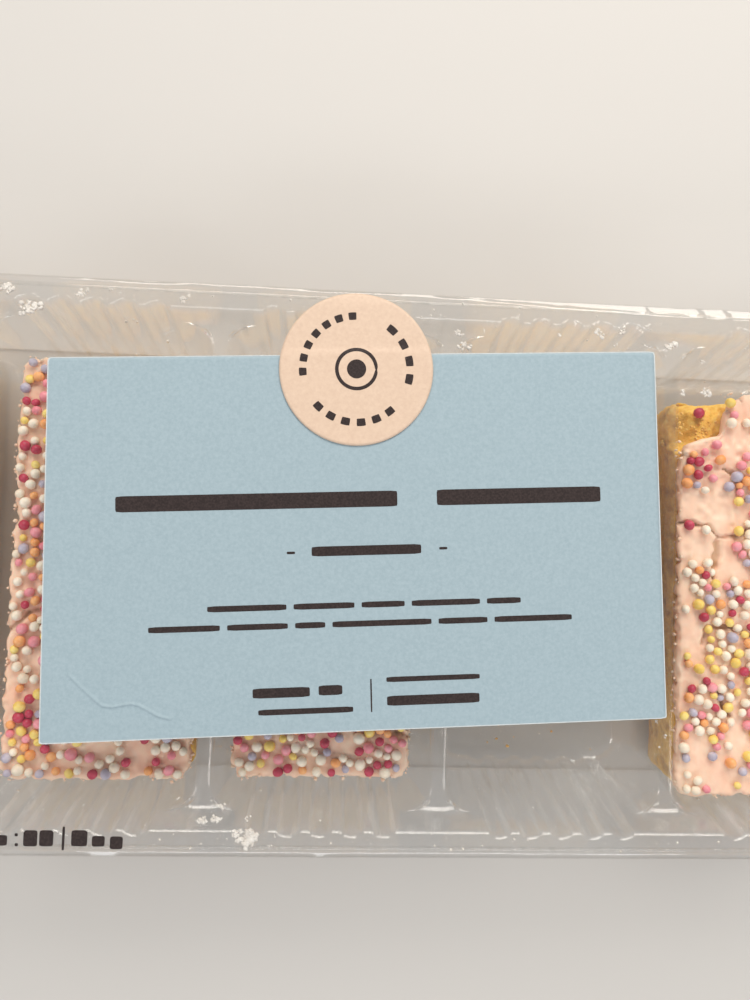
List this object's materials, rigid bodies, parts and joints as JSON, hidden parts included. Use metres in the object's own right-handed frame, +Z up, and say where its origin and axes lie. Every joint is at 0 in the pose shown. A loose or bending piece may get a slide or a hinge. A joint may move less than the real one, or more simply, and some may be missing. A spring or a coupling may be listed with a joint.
{
  "type": "sealed pack of iced sponge cakes",
  "caption": "Clear tray of oblong sponge slices with pale icing and sugar sprinkles, sealed in clear flow-wrapped film with a pale blue label and a round cream sticker.",
  "frame": {"origin": "middle of the pack's underside, where it rests on the table", "axes": "+X along the row of wells, +Y across the pack towards the edge that the round sticker reaches, +Z up through the label"},
  "size_m": [0.2966, 0.1114, 0.0324],
  "materials": {
    "film": "clear thin packing film, glossy, slightly wrinkled along its folds",
    "tray": "clear thermoformed sheet, glossy, with a faint grease bloom",
    "label": "pale blue matt paper with a fine grain and one crease",
    "sticker": "cream satin paper",
    "sponge": "golden open-crumbed sponge cake, matt",
    "icing": "pale pinkish white set icing, satin, cracked in places"
  },
  "bodies": {
    "root": {"film": "film", "tray": "tray", "label": "label", "sticker": "sticker", "sponge_1": "sponge", "sponge_2": "sponge", "sponge_3": "sponge", "sponge_4": "sponge", "sponge_5": "sponge", "icing_1": "icing", "icing_2": "icing", "icing_3": "icing", "icing_4": "icing", "icing_5": "icing"}
  },
  "joints": []
}
